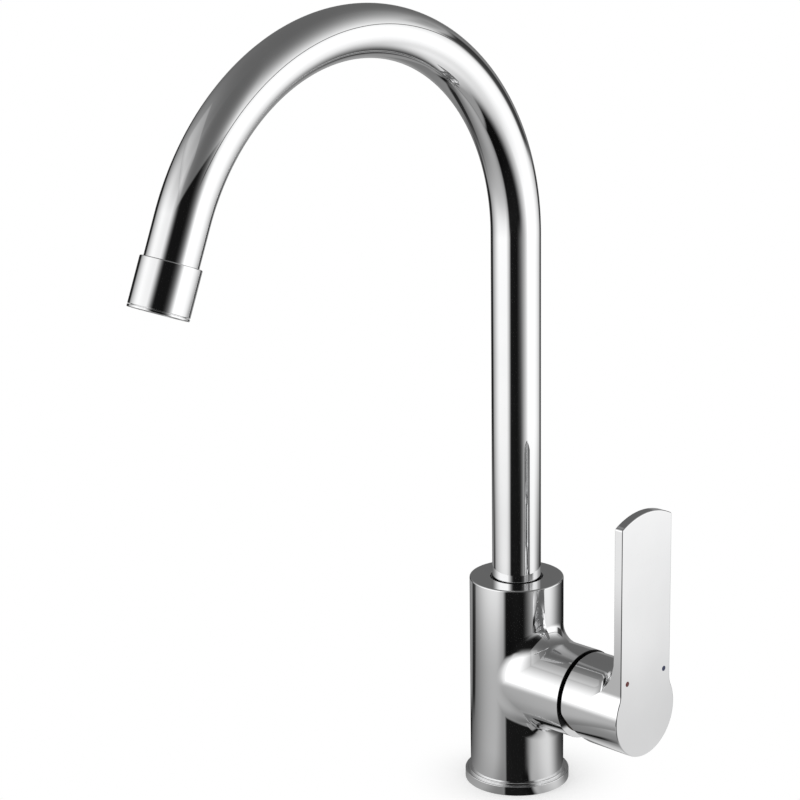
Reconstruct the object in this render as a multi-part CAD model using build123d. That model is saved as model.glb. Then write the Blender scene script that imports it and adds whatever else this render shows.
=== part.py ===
from build123d import *
import math
import os

# Single-hole kitchen mixer: round column, gooseneck spout that swivels, side branch with a ceramic
# cartridge and an upright paddle lever. Millimetres, +Z up, origin on the column's axis at the deck.
# The spout points to -Y, towards the user, and the branch points to +X.

# Column and base ring
column_radius = 23.2
column_top = 106.5
column_bevel = 0.5
ring_lip = 2.7
ring_height = 6.0
flange_height = 4.8
shoulder_lip = 1.3
ring_edge = 0.5
spigot_step = 2.2
deck_gap = 0.6
gasket_width = 2.2
gasket_depth = 1.8
gasket_margin = 1.5

# Threads in the column's foot, two M10x1 for the hoses and one M8 for the stud, and the risers above
thread_depth = 14.0
hose_thread_radius = 4.5
hose_forward = 3.0
hose_spread = 13.2
stud_thread_radius = 3.4
stud_offset = 14.0
riser_radius = 3.2
riser_shift = 2.4

# Spout: tube, arch and tail
tube_radius = 12.0
tube_wall = 1.2
riser_length = 171.9
arch_radius = 107.6
arch_sweep = 157.75
tail_length = 18.7

# Spout root in the column
mouth_gap = 1.1
mouth_depth = 9.0
foot_gap = 0.8
slip_ring_gap = 0.05
slip_ring_drop = 2.0
shank_step = 0.4
shank_length = 25.5
shank_plug = 14.0
shank_bore = 8.0
bore_fit = 0.05
braze_gap = 0.02
thrust_ring_height = 2.0
o_ring_section = 1.2
o_ring_fit = 0.03
o_ring_heights = (3.0, 8.0)
o_ring_groove_play = 0.3
outlet_duct_radius = 5.0

# Grub screw that keeps the spout in
lock_height = 18.5
lock_groove_width = 5.6
lock_groove_depth = 1.6
lock_bite = 1.2
lock_screw_radius = 2.5
lock_screw_length = 8.0
hex_key = 2.5
hex_depth = 3.0

# Outlet sleeve and aerator
sleeve_wall = 1.5
sleeve_length = 21.0
sleeve_grip = 9.0
sleeve_bevel = 0.4
washer_height = 1.5
washer_width = 2.2
aerator_rim = 1.2
aerator_wall = 1.75
aerator_lip = 1.0
thread_gap = 0.05
insert_height = 7.6
insert_gap = 0.1
insert_holes = 12
insert_hole_radius = 0.9
screen_height = 1.1
cell_flats = 2.2
cell_wall = 0.45
cell_rings = 3

# Branch and cartridge, measured along the branch from the column's axis
branch_height = 56.4
branch_blend = 8.0
branch_wall = 3.05
branch_edge = 0.35
thread_step = 1.3
chamber_floor = 19.0
chamber_gap = 0.15
cartridge_radius = 17.5
base_flange = 2.0
base_height = 5.5
port_rise = 4.5
port_spread = 8.0
port_drop = 8.0
inlet_port_radius = 3.2
seal_section = 1.6
seal_depth = 1.2
outlet_port_radius = 3.8
peg_radius = 1.5
peg_length = 2.0
peg_spread = 13.0
peg_gap = 0.1
disc_recess = 1.5
fixed_disc_radius = 13.5
fixed_disc_height = 4.0
moving_disc_radius = 10.5
moving_disc_height = 3.0
disc_film = 0.02
disc_seat_gap = 0.1
pocket_rim = 1.5
pocket_depth = 1.5
pocket_top = 3.9
holder_rim = 1.3
holder_grip = 1.2
holder_height = 6.0
holder_floor = 1.0
holder_flat = 11.2
socket_gap = 0.25
housing_wall = 1.8
housing_roof = 1.6
neck_step = 3.5
neck_wall = 1.6
neck_rise = 2.5
turret_gap = 0.2
turret_flange = 2.0
turret_fit = 0.1
turret_rise = 4.5
guide_width = 2.0
guide_length = 14.0
guide_depth = 3.0
nut_length = 5.2
nut_gap = 0.2
nut_recess = 0.4
collar_wall = 1.7
collar_height = 3.0
collar_notches = 6
notch_width = 4.0
notch_depth = 2.0

# Stem, pivot and lever
pivot_lead = 4.4
lift_range = 22.0
pin_radius = 1.5
pin_length = 19.0
pin_fit = 0.05
stem_width = 8.0
stem_height = 9.0
stem_shoulder = 5.0
stem_neck_radius = 2.4
stem_slot_gap = 0.1
stem_swing_gap = 0.5
ball_radius = 3.0
dome_gap = 0.5
dome_wall = 1.3
dome_hole = 12.5
web_gap = 0.4
hub_gap = 1.9
hub_step = 0.5
hub_wall = 2.3
hub_length = 34.6
hub_edge = 0.3
relief_angle = 35.0
relief_start = 3.5
paddle_half_width = 18.2
paddle_rise = 101.1
paddle_crown = 37.0
paddle_thickness = 4.7
paddle_neck_blend = 12.0
paddle_corner = 1.2
paddle_edge = 0.6
paddle_root_blend = 13.0
front_wall = 4.6
stem_socket_gap = 0.05
handle_screw_radius = 2.5
handle_screw_length = 8.0
plug_radius = 3.0
plug_length = 3.2
plug_drop = 0.5
mark_radius = 1.3
mark_depth = 0.6
mark_spread = 13.6
mark_rise = 19.0

# Sizes that follow from the ones above
ring_radius = column_radius + ring_lip
shoulder_radius = column_radius + shoulder_lip
spigot_radius = column_radius - spigot_step
thread_top = deck_gap + thread_depth
riser_forward = hose_forward + riser_shift
riser_spread = hose_spread - riser_shift
tube_bore = tube_radius - tube_wall
mouth_radius = tube_radius + mouth_gap
mouth_floor = column_top - mouth_depth
tube_foot = mouth_floor + foot_gap
shank_radius = tube_radius - shank_step
spout_bore = shank_radius + bore_fit
shank_foot = tube_foot - shank_length
thrust_top = shank_foot - bore_fit
bore_floor = thrust_top - thrust_ring_height
lock_level = shank_foot + lock_height
lock_groove_radius = shank_radius - lock_groove_depth
arch_height = column_top + riser_length
sleeve_bore = tube_radius + braze_gap
sleeve_radius = sleeve_bore + sleeve_wall
tube_end = tail_length + sleeve_grip
sleeve_end = tail_length + sleeve_length
aerator_radius = sleeve_bore - thread_gap
aerator_bore = aerator_radius - aerator_wall
washer_end = tube_end + washer_height
outlet_end = sleeve_end + aerator_rim
screen_low = outlet_end - aerator_lip - screen_height - insert_gap
insert_low = screen_low - insert_height - insert_gap

chamber_radius = cartridge_radius + chamber_gap
nut_radius = chamber_radius + thread_step
branch_radius = nut_radius + branch_wall
base_top = chamber_floor + base_height
fixed_disc_low = base_top - disc_recess
fixed_disc_top = fixed_disc_low + fixed_disc_height
moving_disc_low = fixed_disc_top + disc_film
moving_disc_top = moving_disc_low + moving_disc_height
holder_low = moving_disc_top - holder_grip
holder_radius = moving_disc_radius + disc_seat_gap + holder_rim
holder_top = moving_disc_top + holder_height
cavity_radius = cartridge_radius - housing_wall
flange_low = holder_top + turret_gap
flange_top = flange_low + turret_flange
cavity_top = flange_top + turret_gap
shoulder = cavity_top + housing_roof
neck_radius = cartridge_radius - neck_step
neck_bore = neck_radius - neck_wall
turret_radius = neck_bore - turret_fit
flange_radius = cavity_radius - stem_swing_gap
nut_bore = neck_radius + nut_gap
nut_top = shoulder + nut_length
collar_radius = nut_bore + collar_wall
collar_top = nut_top + collar_height
branch_end = nut_top + nut_recess
pivot = branch_end + pivot_lead
neck_top = pivot + neck_rise
turret_top = pivot + turret_rise
ball_centre = moving_disc_top + holder_floor + ball_radius
lever_arm = pivot - ball_centre
disc_travel = lever_arm * math.sin(math.radians(lift_range))
disc_rest = -disc_travel / 2
hub_rear = branch_end + hub_gap
hub_front = hub_rear + hub_length
hub_radius = branch_radius - hub_step
hub_bore = hub_radius - hub_wall
dome_radius = hub_bore - dome_gap
dome_inside = dome_radius - dome_wall
web = pivot + dome_radius + web_gap
stem_tip = hub_front - front_wall
clamp_line = (web + stem_tip) / 2
paddle_back = hub_front - paddle_thickness

# Round pieces about Z


def rod(radius, low, high):
    """Solid cylinder about Z between two heights."""
    return Pos(0, 0, (low + high) / 2) * Cylinder(radius, high - low)


def ring(inner, outer, low, high):
    """Plain ring about Z between two heights."""
    return rod(outer, low, high) - rod(inner, low, high)


def rounded_rod(radius, low, high, edge):
    """Solid cylinder about Z with its upper edge rounded."""
    return fillet(rod(radius, low, high).edges().sort_by(Axis.Z)[-1], edge)


def turned(*corners):
    """Solid of revolution about Z from (radius, height) corners."""
    return revolve(Plane.XZ * make_face(Polyline(*corners, close=True)), Axis.Z)


def grub_screw(radius, length):
    """Headless screw about Z, its point at height 0 and a hexagon socket in its other end."""
    point = radius / 2
    body = turned((0, 0), (radius - point, 0), (radius, point), (radius, length), (0, length))
    socket = extrude(RegularPolygon(hex_key / 2, 6, major_radius=False), hex_depth)
    return body - Pos(0, 0, length - hex_depth) * socket


# Places: along the branch, and along the spout's tail


def on_branch(piece):
    """Move a piece made about Z onto the branch, with its height as the distance from the column's axis."""
    return Pos(0, 0, branch_height) * Rot(0, 90, 0) * piece


def on_tail(piece):
    """Move a piece made about Z onto the spout's tail, with its height counted from the arch's end."""
    turn = math.radians(arch_sweep)
    end_y = arch_radius * (math.cos(turn) - 1)
    end_z = arch_height + arch_radius * math.sin(turn)
    tail = Plane((0, end_y, end_z), x_dir=(1, 0, 0), z_dir=(0, -math.sin(turn), math.cos(turn)))
    return tail.location * piece


# Ports: hot at -Y, cold at +Y, outlet in the middle; on the branch, local -X is up
inlet_sides = {"hot": -1, "cold": 1}
inlet_ports = {name: (-port_rise, side * port_spread) for name, side in inlet_sides.items()}
outlet_port = (port_drop, 0)


def at(place, piece):
    """Shift a piece sideways from its own Z axis."""
    return Pos(place[0], place[1], 0) * piece


# Column and base


def make_valve_body():
    """T casting: column and branch blended together, then bored for spout, cartridge and water."""
    column = turned(
        (0, ring_height),
        (column_radius, ring_height),
        (column_radius, column_top - column_bevel),
        (column_radius - column_bevel, column_top),
        (0, column_top),
    )
    branch = on_branch(rod(branch_radius, 0, branch_end))
    body = column + branch
    seam = body.edges().filter_by(lambda e: e.geom_type not in (GeomType.CIRCLE, GeomType.LINE))
    body = fillet(seam, branch_blend)
    rim = body.edges().filter_by(GeomType.CIRCLE).sort_by(Axis.X)[-1]
    body = fillet(rim, branch_edge)
    body += rod(spigot_radius, deck_gap, ring_height)
    body -= rod(mouth_radius, mouth_floor, column_top)
    body -= rod(spout_bore, bore_floor, mouth_floor)
    body -= on_branch(rod(chamber_radius, chamber_floor, shoulder))
    body -= on_branch(rod(nut_radius, shoulder, branch_end))
    lock_hole = rod(lock_screw_radius, 0, column_radius)
    body -= Pos(0, 0, lock_level) * Rot(-90, 0, 0) * lock_hole
    return body - make_waterways()


def make_waterways():
    """Threads, risers and ports in the casting, the outlet duct and the holes for the pegs."""
    space = rod(outlet_duct_radius, branch_height - port_drop, bore_floor)
    space += on_branch(at(outlet_port, rod(outlet_port_radius, 0, chamber_floor)))
    space += at((-stud_offset, 0), rod(stud_thread_radius, deck_gap, thread_top))
    for name, side in inlet_sides.items():
        space += at((hose_forward, side * hose_spread), rod(hose_thread_radius, deck_gap, thread_top))
        riser = rod(riser_radius, thread_top, branch_height + port_rise)
        space += at((riser_forward, side * riser_spread), riser)
        space += on_branch(at(inlet_ports[name], rod(inlet_port_radius, riser_forward, chamber_floor)))
        peg_hole = rod(peg_radius + peg_gap, chamber_floor - peg_length - peg_gap, chamber_floor)
        space += on_branch(at((0, side * peg_spread), peg_hole))
    return space


def make_base_ring():
    """Turned ring that the column stands on: flange, shoulder, and a groove for the gasket below."""
    body = rounded_rod(ring_radius, 0, flange_height, ring_edge)
    body += rounded_rod(shoulder_radius, 0, ring_height, ring_edge)
    return body - rod(spigot_radius + bore_fit, 0, ring_height) - make_base_gasket()


def make_base_gasket():
    """Flat rubber ring, flush with the base ring's underside."""
    outer = ring_radius - gasket_margin
    return ring(outer - gasket_width, outer, 0, gasket_depth)


# Spout


def make_spout_tube():
    """Gooseneck: straight riser, one large arch and a short tail, as one bent tube."""
    turn = math.radians(arch_sweep)
    arch_end = arch_radius * Vector(0, math.cos(turn) - 1, math.sin(turn)) + Vector(0, 0, arch_height)
    tail_end = arch_end + tube_end * Vector(0, -math.sin(turn), math.cos(turn))
    half = turn / 2
    arch_middle = arch_radius * Vector(0, math.cos(half) - 1, math.sin(half)) + Vector(0, 0, arch_height)
    riser = Line((0, 0, tube_foot), (0, 0, arch_height))
    arch = ThreePointArc((0, 0, arch_height), arch_middle, arch_end)
    tail = Line(arch_end, tail_end)
    section = Pos(0, 0, tube_foot) * (Circle(tube_radius) - Circle(tube_bore))
    return sweep(section, path=Wire([riser.edge(), arch.edge(), tail.edge()]))


def make_spout_shank():
    """Brass root brazed into the tube, with two seal grooves and the groove for the lock screw."""
    shank_top = tube_foot + shank_plug
    body = rod(shank_radius, shank_foot, tube_foot) + rod(tube_bore - braze_gap, tube_foot, shank_top)
    body -= rod(shank_bore, shank_foot, shank_top)
    groove_radius = spout_bore - o_ring_fit - 2 * o_ring_section - o_ring_fit
    half_groove = o_ring_section + o_ring_groove_play
    for height in o_ring_heights:
        middle = shank_foot + height
        body -= ring(groove_radius, shank_radius, middle - half_groove, middle + half_groove)
    half_lock = lock_groove_width / 2
    return body - ring(lock_groove_radius, shank_radius, lock_level - half_lock, lock_level + half_lock)


def make_spout_o_ring(height):
    """Seal in one of the shank's grooves, just inside the bore's wall."""
    return Pos(0, 0, shank_foot + height) * Torus(spout_bore - o_ring_fit - o_ring_section, o_ring_section)


def make_spout_slip_ring():
    """Thin plastic ring in the column's mouth that the tube turns in."""
    return ring(tube_radius + slip_ring_gap, mouth_radius, mouth_floor, column_top - slip_ring_drop)


def make_spout_thrust_ring():
    """Plastic ring on the bore's floor that carries the spout."""
    return ring(shank_bore, spout_bore, bore_floor, thrust_top)


def make_spout_lock_screw():
    """Grub screw at the back of the column, with its point in the shank's groove."""
    point = lock_groove_radius + lock_groove_depth - lock_bite
    screw = Pos(0, 0, point) * grub_screw(lock_screw_radius, lock_screw_length)
    return Pos(0, 0, lock_level) * Rot(-90, 0, 0) * screw


# Outlet


def make_outlet_sleeve():
    """Sleeve on the tube's end that takes the aerator."""
    body = turned(
        (sleeve_bore, tail_length),
        (sleeve_radius - sleeve_bevel, tail_length),
        (sleeve_radius, tail_length + sleeve_bevel),
        (sleeve_radius, sleeve_end),
        (sleeve_bore, sleeve_end),
    )
    return on_tail(body)


def make_aerator_washer():
    """Rubber washer between the tube's end and the aerator."""
    return on_tail(ring(aerator_radius - washer_width, aerator_radius, tube_end, washer_end))


def make_aerator_housing():
    """Screwed-in cup with a visible rim below the sleeve and a lip that holds the screen."""
    body = turned(
        (aerator_bore, washer_end),
        (aerator_radius, washer_end),
        (aerator_radius, sleeve_end),
        (sleeve_radius, sleeve_end),
        (sleeve_radius, outlet_end - sleeve_bevel),
        (sleeve_radius - sleeve_bevel, outlet_end),
        (aerator_bore - aerator_lip, outlet_end),
        (aerator_bore - aerator_lip, outlet_end - aerator_lip),
        (aerator_bore, outlet_end - aerator_lip),
    )
    return on_tail(body)


def make_aerator_insert():
    """Flow insert: a plug with a ring of jet holes and a waist that draws in air."""
    outer = aerator_bore - insert_gap
    waist = outer - aerator_lip
    third = insert_height / 3
    body = turned(
        (0, insert_low),
        (outer, insert_low),
        (outer, insert_low + third),
        (waist, insert_low + third),
        (waist, insert_low + 2 * third),
        (outer, insert_low + 2 * third),
        (outer, insert_low + insert_height),
        (0, insert_low + insert_height),
    )
    jet = rod(insert_hole_radius, insert_low, insert_low + insert_height)
    circle = waist - 2 * insert_hole_radius
    return on_tail(body - [place * jet for place in PolarLocations(circle, insert_holes)])


def make_aerator_screen():
    """Honeycomb disc that straightens the jet."""
    pitch = cell_flats + cell_wall
    across = 2 * cell_rings + 1
    reach = (cell_rings + 0.1) * pitch
    cells = [place for place in HexLocations(pitch / 2, across, across) if place.position.length < reach]
    cell = extrude(RegularPolygon(cell_flats / 2, 6, major_radius=False), screen_height)
    body = rod(aerator_bore - insert_gap, 0, screen_height)
    return on_tail(Pos(0, 0, screen_low) * (body - [place * cell for place in cells]))


# Cartridge, fixed half


def make_cartridge_base():
    """Foot of the cartridge: flange, ports with seal recesses, seat for the fixed disc and two pegs."""
    body = rod(cartridge_radius, chamber_floor, chamber_floor + base_flange)
    body += rod(cavity_radius - turret_fit, chamber_floor + base_flange, base_top)
    body -= rod(fixed_disc_radius + disc_seat_gap, fixed_disc_low, base_top)
    for side in inlet_sides.values():
        body += at((0, side * peg_spread), rod(peg_radius, chamber_floor - peg_length, chamber_floor))
    for port, radius in port_list():
        body -= at(port, rod(radius, chamber_floor, fixed_disc_low))
        body -= at(port, rod(radius + seal_section, chamber_floor, chamber_floor + seal_depth))
    return on_branch(body)


def port_list():
    """Place and radius of the three ports, hot, cold and outlet."""
    ports = [(port, inlet_port_radius) for port in inlet_ports.values()]
    return ports + [(outlet_port, outlet_port_radius)]


def make_cartridge_seal(port, radius):
    """Rubber ring round one port in the cartridge's foot."""
    seal = ring(radius, radius + seal_section, chamber_floor, chamber_floor + seal_depth)
    return on_branch(at(port, seal))


def make_fixed_disc():
    """Ceramic disc with the three ports, in the base's seat."""
    body = rod(fixed_disc_radius, fixed_disc_low, fixed_disc_top)
    for port, radius in port_list():
        body -= at(port, rod(radius, fixed_disc_low, fixed_disc_top))
    return on_branch(body)


def make_cartridge_housing():
    """Plastic cup over the discs, with a neck that the turret turns in."""
    low = chamber_floor + base_flange
    body = turned(
        (cavity_radius, low),
        (cartridge_radius, low),
        (cartridge_radius, shoulder),
        (neck_radius, shoulder),
        (neck_radius, neck_top),
        (neck_bore, neck_top),
        (neck_bore, cavity_top),
        (cavity_radius, cavity_top),
    )
    return on_branch(body)


def make_cartridge_nut():
    """Threaded ring on the housing's shoulder, with a notched collar for a pin wrench."""
    body = ring(nut_bore, nut_radius, shoulder, nut_top)
    body += ring(nut_bore, collar_radius, nut_top, collar_top)
    notch = Pos(collar_radius, 0, collar_top) * Box(4 * collar_wall, notch_width, 2 * notch_depth)
    places = PolarLocations(0, collar_notches)
    return on_branch(body - [place * notch for place in places])


def make_dome_cap():
    """Polished ball-shaped cap centred on the pivot, so that the hub can tip over it."""
    ball = Pos(0, 0, pivot) * Sphere(dome_radius)
    ball &= rod(dome_radius, nut_top, pivot + dome_radius)
    hollow = Pos(0, 0, pivot) * Sphere(dome_inside)
    hollow &= rod(dome_radius, collar_top, pivot + dome_radius)
    land = rod(collar_radius + thread_gap, nut_top, collar_top)
    hole = rod(dome_hole, pivot, pivot + dome_radius)
    return on_branch(ball - hollow - land - hole)


# Cartridge, moving pieces


def make_moving_disc():
    """Ceramic disc with a pocket in its face that joins the ports."""
    body = rod(moving_disc_radius, moving_disc_low, moving_disc_top)
    pocket = rod(moving_disc_radius - pocket_rim, moving_disc_low, moving_disc_low + pocket_depth)
    above = Pos(-pocket_top - moving_disc_radius, 0, moving_disc_low) * Box(
        2 * moving_disc_radius, 2 * moving_disc_radius, 2 * moving_disc_height
    )
    return on_branch(at((-disc_rest, 0), body - (pocket - above)))


def make_disc_holder():
    """Slide over the moving disc, with flanks between the turret's guides and a socket for the ball."""
    body = rod(holder_radius, holder_low, holder_top)
    body -= rod(moving_disc_radius + disc_seat_gap, holder_low, moving_disc_top)
    flank_low = holder_top - guide_depth
    for side in inlet_sides.values():
        flank = Box(4 * holder_radius, holder_radius, 2 * guide_depth)
        body -= Pos(0, side * (holder_flat + holder_radius / 2), flank_low + guide_depth) * flank
    body = at((-disc_rest, 0), body)
    return on_branch(body - rod(ball_radius + socket_gap, moving_disc_top + holder_floor, holder_top))


def make_cartridge_turret():
    """Turret in the housing's neck: flange with two guides, slot for the stem and hole for the pin."""
    body = rod(flange_radius, flange_low, flange_top) + rod(turret_radius, flange_top, turret_top)
    guide_low = holder_top - guide_depth + turret_gap
    for side in inlet_sides.values():
        middle = side * (holder_flat + turret_fit + guide_width / 2)
        guide = Box(guide_length, guide_width, flange_low - guide_low)
        body += Pos(0, middle, (guide_low + flange_low) / 2) * guide
    return on_branch(body - make_stem_slot() - make_pin_hole(pin_radius))


def make_stem_slot():
    """Slot through the turret: as wide as the stem, and as long as the tipping stem needs."""
    tip = math.radians(lift_range)
    half_stem = stem_height / 2
    down = turret_rise * math.tan(tip) + half_stem / math.cos(tip) + stem_swing_gap
    up = disc_travel + ball_radius + stem_swing_gap
    slot = Box(down + up, stem_width + 2 * stem_slot_gap, turret_top - flange_low)
    return Pos((down - up) / 2, 0, (turret_top + flange_low) / 2) * slot


def make_pin_hole(radius):
    """Cross hole for the pivot pin."""
    return Pos(0, 0, pivot) * Rot(90, 0, 0) * Cylinder(radius, pin_length)


def make_pivot_pin():
    """Steel pin across the turret's slot."""
    return on_branch(make_pin_hole(pin_radius))


def make_cartridge_stem():
    """Brass stem: ball in the disc holder, flat blade through the turret, end in the lever's socket."""
    blade_low = pivot - stem_shoulder
    blade = Pos(0, 0, (blade_low + stem_tip) / 2) * Box(stem_height, stem_width, stem_tip - blade_low)
    ball = Pos(0, 0, ball_centre) * Sphere(ball_radius)
    neck = rod(stem_neck_radius, ball_centre, blade_low)
    return on_branch(blade + neck + ball - make_pin_hole(pin_radius + pin_fit))


# Lever


def make_lever_outline():
    """Keyhole outline seen from the front: round hub below, straight paddle with a crowned top above."""
    side = paddle_half_width
    corner = paddle_rise - paddle_crown + math.sqrt(paddle_crown**2 - side**2)
    top = ThreePointArc((-side, corner), (0, paddle_rise), (side, corner))
    sides = Polyline((side, corner), (side, 0), (-side, 0), (-side, corner))
    outline = make_face(top + sides) + Circle(hub_radius)
    necks = outline.vertices().filter_by(lambda v: 0 < v.Y < hub_radius)
    outline = fillet(necks, paddle_neck_blend)
    corners = outline.vertices().filter_by(lambda v: abs(v.Y - corner) < paddle_corner)
    return fillet(corners, paddle_corner)


def make_lever_handle():
    """Hub and paddle in one casting, hollow over the dome and relieved below so that it can tip."""
    outline = Rot(0, 0, 90) * make_lever_outline()
    plate = Pos(0, 0, paddle_back) * extrude(outline, paddle_thickness)
    plate = fillet(plate.faces().sort_by(Axis.Z)[-1].edges(), paddle_edge)
    below = Pos(0, 0, paddle_back) * extrude(outline, -paddle_root_blend)
    hub = rod(hub_radius, hub_rear, paddle_back)
    hub = fillet(hub.edges().sort_by(Axis.Z)[0], hub_edge)
    body = plate + hub + (make_root_cove() & below)
    body -= rod(hub_bore, hub_rear, web)
    body -= make_relief()
    socket_gap_both = 2 * stem_socket_gap
    socket_length = stem_tip + stem_socket_gap - web
    socket = Box(stem_height + socket_gap_both, stem_width + socket_gap_both, socket_length)
    body -= Pos(0, 0, web + socket_length / 2) * socket
    body -= Pos(0, 0, clamp_line) * Rot(0, 90, 0) * rod(handle_screw_radius, 0, hub_radius)
    plug_low = hub_radius - plug_drop - plug_length
    body -= Pos(0, 0, clamp_line) * Rot(0, 90, 0) * rod(plug_radius, plug_low, hub_radius)
    for side in inlet_sides.values():
        body -= make_mark_seat(side)
    return on_branch(body)


def make_root_cove():
    """Concave ring that blends the hub into the paddle's back."""
    blend = paddle_root_blend
    outer = hub_radius + blend
    slope = blend * math.sqrt(0.5)
    hollow = ThreePointArc(
        (hub_radius, paddle_back - blend),
        (outer - slope, paddle_back - blend + slope),
        (outer, paddle_back),
    )
    inner = hub_radius - hub_wall
    low = paddle_back - blend
    back = Polyline((outer, paddle_back), (inner, paddle_back), (inner, low), (hub_radius, low))
    return revolve(Plane.XZ * make_face(hollow + back), Axis.Z)


def make_relief():
    """Slanted cut below the hub's rear edge, which the branch's end needs when the lever tips."""
    low = 2 * hub_radius
    deep = hub_rear + (low - relief_start) * math.tan(math.radians(relief_angle))
    wedge = Polyline((relief_start, hub_rear), (low, deep), (low, hub_rear), close=True)
    return extrude(Plane.XZ * make_face(wedge), hub_radius, both=True)


def make_mark_seat(side):
    """Shallow round place of one mark in the paddle's face."""
    return at((-mark_rise, side * mark_spread), rod(mark_radius, hub_front - mark_depth, hub_front))


def make_mark(side):
    """Inlaid dot for hot or cold."""
    return on_branch(make_mark_seat(side))


def make_handle_screw():
    """Grub screw from below the hub, with its point on the stem's flat."""
    screw = Pos(0, 0, stem_height / 2) * grub_screw(handle_screw_radius, handle_screw_length)
    return on_branch(Pos(0, 0, clamp_line) * Rot(0, 90, 0) * screw)


def make_handle_plug():
    """Plug over the grub screw, a little below the hub's surface."""
    high = hub_radius - plug_drop
    return on_branch(Pos(0, 0, clamp_line) * Rot(0, 90, 0) * rod(plug_radius, high - plug_length, high))


nodes = {
    "valve_body": make_valve_body(),
    "base_ring": make_base_ring(),
    "base_gasket": make_base_gasket(),
    "spout_slip_ring": make_spout_slip_ring(),
    "spout_thrust_ring": make_spout_thrust_ring(),
    "spout_lock_screw": make_spout_lock_screw(),
    "spout_tube": make_spout_tube(),
    "spout_shank": make_spout_shank(),
    "outlet_sleeve": make_outlet_sleeve(),
    "aerator_washer": make_aerator_washer(),
    "aerator_housing": make_aerator_housing(),
    "aerator_insert": make_aerator_insert(),
    "aerator_screen": make_aerator_screen(),
    "cartridge_base": make_cartridge_base(),
    "cartridge_housing": make_cartridge_housing(),
    "cartridge_nut": make_cartridge_nut(),
    "dome_cap": make_dome_cap(),
    "fixed_disc": make_fixed_disc(),
    "moving_disc": make_moving_disc(),
    "disc_holder": make_disc_holder(),
    "cartridge_turret": make_cartridge_turret(),
    "pivot_pin": make_pivot_pin(),
    "cartridge_stem": make_cartridge_stem(),
    "lever_handle": make_lever_handle(),
    "handle_screw": make_handle_screw(),
    "handle_plug": make_handle_plug(),
}
for number, height in enumerate(o_ring_heights, start=1):
    nodes[f"spout_o_ring_{number}"] = make_spout_o_ring(height)
for name, side in inlet_sides.items():
    nodes[f"{name}_mark"] = make_mark(side)
for name, (port, radius) in zip(["hot", "cold", "outlet"], port_list()):
    nodes[f"{name}_port_seal"] = make_cartridge_seal(port, radius)

os.makedirs("parts", exist_ok=True)
for name, piece in nodes.items():
    export_step(piece, f"parts/{name}.step")
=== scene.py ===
# %% [markdown]
# # A kitchen mixer tap in polished chrome
# The imported part comes in as a fixed frame in metres, and everything made here is dressed round it.

# %% Load the frame
import math

import bpy
import numpy as np
from mathutils import Matrix, Vector
from mathutils.geometry import delaunay_2d_cdt


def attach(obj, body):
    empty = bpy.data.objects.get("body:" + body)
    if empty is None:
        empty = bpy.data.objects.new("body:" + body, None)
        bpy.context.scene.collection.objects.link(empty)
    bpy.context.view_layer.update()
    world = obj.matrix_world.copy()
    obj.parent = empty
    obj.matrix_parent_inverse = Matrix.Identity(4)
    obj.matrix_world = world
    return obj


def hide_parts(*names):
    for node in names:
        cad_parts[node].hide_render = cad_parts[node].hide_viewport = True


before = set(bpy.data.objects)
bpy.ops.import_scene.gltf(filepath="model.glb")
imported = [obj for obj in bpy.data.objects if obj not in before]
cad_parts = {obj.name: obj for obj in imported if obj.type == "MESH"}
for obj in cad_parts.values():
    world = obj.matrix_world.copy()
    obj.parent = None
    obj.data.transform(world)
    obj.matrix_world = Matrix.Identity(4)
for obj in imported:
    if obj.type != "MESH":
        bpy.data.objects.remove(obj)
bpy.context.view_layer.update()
scene = bpy.context.scene
scene.view_settings.view_transform = "Standard"

# %% [markdown]
# The camera stands where the photograph's camera stood, worked out from the outlines of the column, the
# arch and the lever. A long lens keeps the tube's sides nearly parallel. The small roll is the photograph's
# own.

# %% Camera
camera_azimuth = 44.554
camera_elevation = 15.994
camera_roll = -0.865
camera_place = (0.808594, -0.901291, 0.543850)
camera_lens = 117.19


def level_direction(azimuth):
    """Unit vector in the floor's plane, 0 degrees towards -Y and 90 towards +X."""
    turn = math.radians(azimuth)
    return Vector((math.sin(turn), -math.cos(turn), 0))


def direction(azimuth, elevation):
    """Unit vector at an azimuth, raised from the floor's plane by an elevation."""
    rise = math.radians(elevation)
    return level_direction(azimuth) * math.cos(rise) + Vector((0, 0, math.sin(rise)))


backward = direction(camera_azimuth, camera_elevation)
level_right = Vector((0, 0, 1)).cross(backward).normalized()
level_up = backward.cross(level_right)
roll = math.radians(camera_roll)
right = level_right * math.cos(roll) + level_up * math.sin(roll)
up = level_up * math.cos(roll) - level_right * math.sin(roll)
lens = bpy.data.cameras.new("camera")
lens.lens = camera_lens
camera = bpy.data.objects.new("camera", lens)
camera.matrix_world = Matrix.Translation(camera_place) @ Matrix((right, up, backward)).transposed().to_4x4()
scene.collection.objects.link(camera)
scene.camera = camera
print("camera:", [round(value, 3) for value in camera.location])

# %% [markdown]
# Shader nodes are easier to read as sums. `Wire` stands for one node's output, and its operators add Math
# nodes. `Paint` belongs to one node tree and adds any other node: its settings first, then what goes into
# its sockets.

# %% Sums on sockets


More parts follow.
